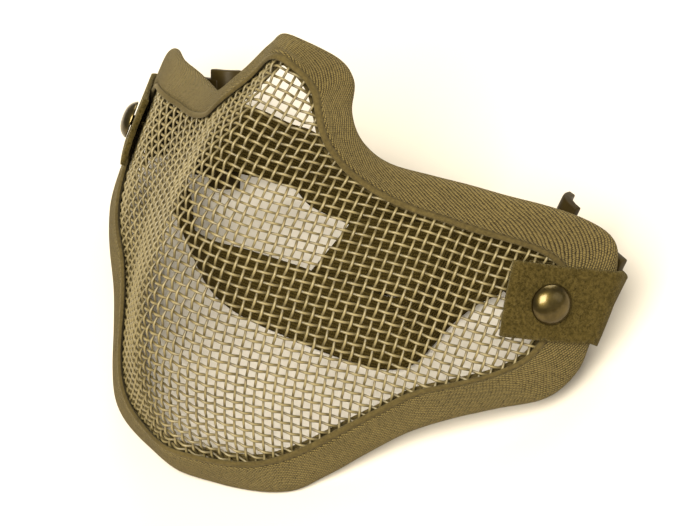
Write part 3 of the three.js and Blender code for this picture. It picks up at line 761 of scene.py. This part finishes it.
def tab_way(share, hang, reach_out):
    """The tab's outer way at one height: face, rim, bar, back. share runs up its width from -1 to 1."""
    z = TAB_HEIGHT + TAB_WIDTH / 2 * share
    bar_frame = buckle_frame(hang)
    to_bar = bar_frame.inverted()
    rim_round = to_bar @ Vector(past_rim(TAB_HEIGHT, -RIM_ROUND, 0))
    landing = to_bar @ Vector(on_face(TAB_LANDING_X, TAB_HEIGHT, -TAB_INNER))
    leaves = (math.atan2(-rim_round.z, -rim_round.x)
              - math.acos((TAB_INNER - BAR_CLEAR) / math.hypot(rim_round.x, rim_round.z)))
    lands = math.atan2(landing.z, landing.x) - math.acos(BAR_CLEAR / math.hypot(landing.x, landing.z))
    while lands < leaves:
        lands += 2 * math.pi
    _, past, out, _ = ear_frame(z)
    off = np.array(bar_frame.to_3x3() @ Vector((math.cos(leaves), 0, math.sin(leaves))))
    turned = math.atan2(off @ out, off @ past)
    front_x = np.linspace(TAB_FRONT_X + TAB_SKEW * (1 - share), ear_x(z) - RIM_MARGIN, FRONT_POINTS)[:-1]
    front = on_face(front_x, z, TAB_OUTER)
    rim_part = [past_rim(z, -RIM_ROUND + TAB_OUTER * math.cos(turn), TAB_OUTER * math.sin(turn))
                for turn in np.linspace(math.pi / 2, turned, RIM_POINTS)]
    down = -TAB_WIDTH / 2 * share
    round_bar = [bar_frame @ Vector((reach_out * math.cos(turn), down, reach_out * math.sin(turn)))
                 for turn in np.linspace(leaves, lands, BAR_POINTS)]
    back = on_face(np.linspace(TAB_LANDING_X, TAB_BACK_X, BACK_POINTS), z, -TAB_OUTER)
    return np.concatenate([front, rim_part, np.array(round_bar), back])


for side, hang in HANGS.items():
    reach_out = BAR_CLEAR + TAB_OUTER - TAB_INNER
    ways = [tab_way(share, hang, reach_out) for share in np.linspace(-1, 1, TAB_LINES)]
    points = at_rest(for_side(np.stack(ways, axis=1), side))
    if side == "right":
        points = points[:, ::-1]
    tab = tape(f"loop_tab_{side}", points, loop, TAB_OUTER - TAB_INNER)
    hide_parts(f"strap_tab_{side}")

# %% [markdown]
# ## Rivets
# A rivet is a turned part, so its outline is spun round its own line: a low dome with a rolled edge
# in front, a shank through the cloth and the mesh, and a flat washer behind. The bronze is smooth
# and a little dark, with fine wear, and shows the soft lights as broad gleams.

# %% Bronze finish
BRONZE_DARK, BRONZE_WORN = (0.062, 0.044, 0.011), (0.102, 0.074, 0.023)

bronze, start, shader = new_finish("bronze", Metallic=1.0, Coat_Weight=0.35, Coat_Roughness=0.16)
where = start.node("ShaderNodeTexCoord", output="Object")
wear = start.noise(where, scale=420, detail=4)
scratches = start.noise(where, scale=2600, detail=2)
feed(shader, start, height=wear, distance=0.02,
     Base_Color=wear.between(0.35, 0.7).mix(BRONZE_DARK, BRONZE_WORN),
     Roughness=0.26 + 0.12 * scratches)

# %% Rivets
RIVET_X = 70.5
RIVET_SEAT = 4.05
DOME = [  # radius, and height in front of the seat
    (0, 2.9), (1.4, 2.84), (2.7, 2.58), (3.8, 2.1), (4.6, 1.45), (5.1, 0.8), (5.35, 0.35), (5.3, 0.08),
    (5.0, 0),
]
SHANK_RADIUS = 1.5
WASHER = [(4.0, 0), (4.2, 0.25), (4.1, 0.8), (3.8, 1), (0, 1)]  # radius, and height behind the seat
RIVET_STEPS = 48
CENTRE_WELD = 1e-4


def rivet(side):
    """A rivet, spun round its own line and stood on the face at the middle of the tab."""
    front = [(radius, RIVET_SEAT + rise) for radius, rise in DOME]
    shank = [(SHANK_RADIUS, RIVET_SEAT), (SHANK_RADIUS, -RIVET_SEAT)]
    back = [(radius, -RIVET_SEAT - rise) for radius, rise in WASHER]
    bm = bmesh.new()
    corners = [bm.verts.new((radius, 0, height)) for radius, height in front + shank + back]
    edges = [bm.edges.new(pair) for pair in zip(corners, corners[1:])]
    bmesh.ops.spin(bm, geom=corners + edges, axis=(0, 0, 1), cent=(0, 0, 0), angle=2 * math.pi,
                   steps=RIVET_STEPS, use_merge=True)
    bmesh.ops.remove_doubles(bm, verts=bm.verts, dist=CENTRE_WELD)
    out = Vector(face_normal(RIVET_X, TAB_HEIGHT))
    turned = Vector((0, 0, 1)).rotation_difference(out).to_matrix().to_4x4()
    place = Matrix.Translation(on_face(RIVET_X, TAB_HEIGHT)) @ turned
    to_rest = Matrix.Scale(MM, 4) @ WORN_TO_REST @ MIRROR[side]
    bmesh.ops.transform(bm, verts=bm.verts, matrix=to_rest @ place)
    bmesh.ops.recalc_face_normals(bm, faces=bm.faces)
    piece = piece_from(bm, f"rivet_{side}_turned", bronze)
    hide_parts(f"rivet_{side}")
    print(piece.name, "has", len(piece.data.polygons), "faces")


for side in HANGS:
    rivet(side)

# %% [markdown]
# ## Ladder-lock buckles
# The buckle is moulded in one go: a plate with three slots and a lip that curls away from its end for
# a thumb. The plate starts as a flat grid, cut by planes where the slots begin and end; the slot
# faces are deleted and the rest is extruded. A small bevel everywhere gives the moulded edge.

# %% Buckle plastic
PLASTIC_DARK, PLASTIC_PALE = (0.016, 0.010, 0.002), (0.034, 0.023, 0.006)

plastic, start, shader = new_finish("buckle_plastic", IOR=1.47, Specular_IOR_Level=0.12)
where = start.node("ShaderNodeTexCoord", output="Object")
grain = start.noise(where, scale=1900, detail=3)
patches = start.noise(where, scale=120, detail=2)
feed(shader, start, height=grain, distance=0.04,
     Base_Color=patches.between(0.3, 0.7).mix(PLASTIC_DARK, PLASTIC_PALE),
     Roughness=0.36 + 0.18 * grain)

# %% Buckles
BUCKLE_HALF = 14
BUCKLE_THICK = 2.6
PLATE_START, PLATE_END = -1.3, 22
SLOT_HALF = 11
SLOTS = [(1.3, 6), (8, 11.2), (13.7, 17)]
PRONG_HALF = 16.8
GRIP = [  # the thumb lip's outline, along the plate and to the front
    (18.5, -1.3), (18.5, 1.1), (21.5, 1.1), (23.4, 0.65), (24.9, -0.4), (25.9, -2.2), (26.4, -4.6),
    (24.3, -5), (23.75, -3.3), (22.6, -2), (20.5, -1.3),
]
BEVEL_WIDTH = 0.45
BEVEL_FROM = math.radians(30)


def pulled_out(bm, faces, by):
    """Extrudes faces and moves the new ones by a vector."""
    pulled = bmesh.ops.extrude_face_region(bm, geom=faces)
    ends = [part for part in pulled["geom"] if isinstance(part, bmesh.types.BMVert)]
    bmesh.ops.translate(bm, verts=ends, vec=by)


def buckle(side):
    """A ladder-lock: a slotted plate and a thumb lip, made at its own bar and then laid at rest."""
    bm = bmesh.new()
    size = Matrix.Diagonal(((PLATE_END - PLATE_START) / 2, BUCKLE_HALF, 1, 1))
    middle = Matrix.Translation(((PLATE_START + PLATE_END) / 2, 0, -BUCKLE_THICK / 2))
    bmesh.ops.create_grid(bm, x_segments=1, y_segments=1, size=1, matrix=middle @ size)
    cuts = [((at, 0, 0), (1, 0, 0)) for slot in SLOTS for at in slot]
    cuts += [((0, at, 0), (0, 1, 0)) for at in (-SLOT_HALF, SLOT_HALF)]
    for place, normal in cuts:
        everything = bm.verts[:] + bm.edges[:] + bm.faces[:]
        bmesh.ops.bisect_plane(bm, geom=everything, plane_co=place, plane_no=normal)
    holes = [face for face in bm.faces if abs(face.calc_center_median().y) < SLOT_HALF
             and any(low < face.calc_center_median().x < high for low, high in SLOTS)]
    bmesh.ops.delete(bm, geom=holes, context="FACES")
    pulled_out(bm, bm.faces[:], (0, 0, BUCKLE_THICK))
    profile = bm.faces.new([bm.verts.new((x, -PRONG_HALF, z)) for x, z in GRIP])
    pulled_out(bm, [profile], (0, 2 * PRONG_HALF, 0))
    to_rest = Matrix.Scale(MM, 4) @ WORN_TO_REST @ MIRROR[side]
    bmesh.ops.transform(bm, verts=bm.verts, matrix=to_rest @ buckle_frame(HANGS[side]))
    bmesh.ops.recalc_face_normals(bm, faces=bm.faces)
    piece = piece_from(bm, f"ladder_lock_{side}", plastic)
    add_modifier(piece, "BEVEL", width=BEVEL_WIDTH * MM, segments=3, limit_method="ANGLE",
                 angle_limit=BEVEL_FROM)
    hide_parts(f"buckle_{side}")
    print(piece.name, "has", len(piece.data.polygons), "faces before its bevel")


for side in HANGS:
    buckle(side)

# %% [markdown]
# ## The elastic strap
# One length of woven elastic threads through both buckles and lies on the surface in a loop inside
# the mask. Its way is a table of places with the direction of its width: through each buckle the
# width follows the bar, and on the surface the strap stands on its edge and tips back. The free end
# at the left buckle is cut at a slant. Elastic shows fine ribs along its length and short picks across
# them, so both are drawn on the flat UV map.

# %% Elastic finish
CORD_PITCH, PICK_PITCH = 0.95, 0.7
ELASTIC_DARK, ELASTIC_PALE = (0.020, 0.012, 0.001), (0.062, 0.044, 0.011)

elastic, start, shader = new_finish("elastic", Roughness=0.95, Specular_IOR_Level=0.05)
along, across = start.flat_tape()
cord_count = across / CORD_PITCH
cords = cord_count.cords()
picks = (along / PICK_PITCH + cord_count.math("FLOOR", cord_count) * 0.5).cords()
where = start.node("ShaderNodeTexCoord", output="Object")
fuzz = start.noise(where, scale=2200, detail=2)
tone = (cords * 0.3 + picks * 0.3 + fuzz * 0.4).between(0.05, 1.0)
feed(shader, start, height=cords * 0.7 + picks * 0.35 + fuzz * 0.2, distance=0.25,
     Base_Color=tone.mix(ELASTIC_DARK, ELASTIC_PALE))

# %% Strap
STRAP_WIDTH = 20
STRAP_THICK = 1.4
THREADED = [  # along the plate from the tab's bar, and out of the plate
    (24, 2.9), (19.5, 2.8), (16.7, 2.6), (15.4, 1.2), (15.1, -0.6), (14.4, -2.4), (12.4, -3.1),
    (10.4, -2.4), (9.8, -0.6), (9.8, 1.2), (10, 3.2), (10.6, 5),
]
LEFT_TAIL = [  # the free end: x, back, lift, and how far the width tips back from upright, in degrees
    (-13.3, 64, 6.7, 55), (11.5, 71.3, 7.8, 54), (29.4, 78, 10.3, 50), (41.6, 83.6, 14, 44),
]
LOOP = [  # the part between the buckles, in the same terms
    (61.1, 77.4, 19, 38), (56, 78.6, 20, 41), (50, 79.9, 20.6, 43), (44.5, 79.4, 18.8, 42),
    (40.2, 76, 15.8, 35), (37, 70, 13, 24), (35, 63, 11.3, 14), (33.3, 54.5, 10.6, 20),
    (29.5, 49.9, 9.5, 35), (22, 48.2, 8.9, 40), (11, 46.8, 8.8, 40), (-3, 46, 8.8, 38),
    (-18, 44.6, 9.5, 28), (-31, 44.4, 10.4, 10),
    (-43, 48.7, 10.8, 0), (-51.5, 56.6, 11, 2), (-58.6, 65.7, 12.4, 14), (-63.5, 72.1, 15.1, 31),
]
RIGHT_TAIL = [  # the free end past the right buckle
    (-44.8, 82.4, 16, 30), (-36.5, 85.1, 12.9, 18), (-31, 86.4, 11.3, 24), (-25, 85, 9.8, 30),
    (-16, 84.8, 9.6, 30), (-6, 84.6, 9.7, 28), (4, 84.8, 10.1, 22), (13, 85.5, 10.5, 14),
    (21, 86.6, 10.8, 8),
]
STRAP_STEP = 0.8
STRAP_LINES = 13
END_SLANT = 7
SLANT_FADE = 40


def threaded(side):
    """Rows through one buckle: place, and the direction of the strap's width along the bar."""
    bar_frame = buckle_frame(HANGS[side])
    wide = WORN_TO_REST.to_3x3() @ (MIRROR[side].to_3x3() @ (bar_frame.to_3x3() @ Vector((0, -1, 0))))
    rows = []
    for along_plate, proud in THREADED:
        place = WORN_TO_REST @ (MIRROR[side] @ (bar_frame @ Vector((along_plate, 0, proud))))
        rows.append([*place, *wide])
    return rows


def laid(table):
    """Rows on the surface: place, and a width that tips back, square to the way."""
    places = [Vector((x, back + REST_SHIFT[1], lift + REST_SHIFT[2])) for x, back, lift, _ in table]
    tips = [math.radians(row[-1]) for row in table]
    rows = []
    for i, (place, tip) in enumerate(zip(places, tips)):
        way = (places[min(i + 1, len(places) - 1)] - places[max(i - 1, 0)]).normalized()
        wide = Vector((0, math.sin(tip), math.cos(tip)))
        rows.append([*place, *(wide - way * wide.dot(way)).normalized()])
    return rows


strap_rows = np.array(laid(LEFT_TAIL) + threaded("left")
                      + laid(LOOP) + threaded("right")[::-1] + laid(RIGHT_TAIL))
knots = run_of(strap_rows[:, :3])
strap_run = np.linspace(0, knots[-1], round(knots[-1] / STRAP_STEP))


def strap_line(share):
    """The strap's outer surface along one thread: share runs up its width from -1 to 1.

    The free end at the left buckle is cut at a slant, which fades out along the strap."""
    here = strap_run + END_SLANT * (1 + share) * np.clip(1 - strap_run / SLANT_FADE, 0, 1)
    line = np.stack([smooth(knots, strap_rows[:, axis], here) for axis in range(3)], axis=-1)
    wide = unit(np.stack([smooth(knots, strap_rows[:, 3 + axis], here) for axis in range(3)], axis=-1))
    out = unit(np.cross(np.gradient(line, axis=0), wide)) * STRAP_THICK / 2
    return line + wide * STRAP_WIDTH / 2 * share + out


strap_points = np.stack([strap_line(share) for share in np.linspace(-1, 1, STRAP_LINES)], axis=1)
strap = tape("elastic_strap", strap_points * MM, elastic, STRAP_THICK)
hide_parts("head_strap")

# %% [markdown]
# ## Floor and light
# The mask lies on a pale, faintly warm floor under a wide soft light from the upper left, with two
# weaker ones opposite and behind, and a bright surround. The floor is lit to white in the open and
# shows its warmth only in the shade inside the mask.

# %% Floor
FLOOR_COLOUR = (0.57, 0.525, 0.465, 1)
FLOOR_HALF = 6

floor_finish = new_finish("floor", Roughness=0.9, Specular_IOR_Level=0.1, Base_Color=FLOOR_COLOUR)[0]
bm = bmesh.new()
bmesh.ops.create_grid(bm, x_segments=1, y_segments=1, size=FLOOR_HALF)
floor = object_from(bm, "floor", floor_finish)
print("floor is", 2 * FLOOR_HALF, "m wide")

# %% Light
SKY_COLOUR, SKY_STRENGTH = (1, 0.96, 0.86, 1), 0.33
LAMP_COLOUR = (1, 0.95, 0.82)

scene = bpy.context.scene
scene.view_settings.view_transform = "Standard"
world = bpy.data.worlds.new("studio")
world.use_nodes = True
world.node_tree.nodes["Background"].inputs["Color"].default_value = SKY_COLOUR
world.node_tree.nodes["Background"].inputs["Strength"].default_value = SKY_STRENGTH
scene.world = world


def softbox(name, direction, distance, size, power):
    """A square lamp in watts, some metres from the camera's aim and facing it."""
    light = bpy.data.lights.new(name, "AREA")
    light.shape = "SQUARE"
    light.size = size
    light.energy = power
    light.color = LAMP_COLOUR
    lamp = bpy.data.objects.new(name, light)
    aim = Vector(direction).normalized()
    lamp.matrix_world = (Matrix.Translation(CAMERA_AIM + aim * distance)
                         @ aim.to_track_quat("Z", "Y").to_matrix().to_4x4())
    scene.collection.objects.link(lamp)
    print(name, "light stands", distance, "m away")


key_way = backward - rightward * 0.26 + Vector((0, 0, 0.28))
fill_way = backward * 0.5 + rightward * 0.8 + Vector((0, 0, 0.3))
softbox("key", key_way, distance=2.5, size=1.5, power=172)
softbox("fill", fill_way, distance=1.4, size=0.8, power=3)
softbox("behind", Vector((-0.3, 0.9, 0.75)), distance=1.6, size=1.0, power=16)
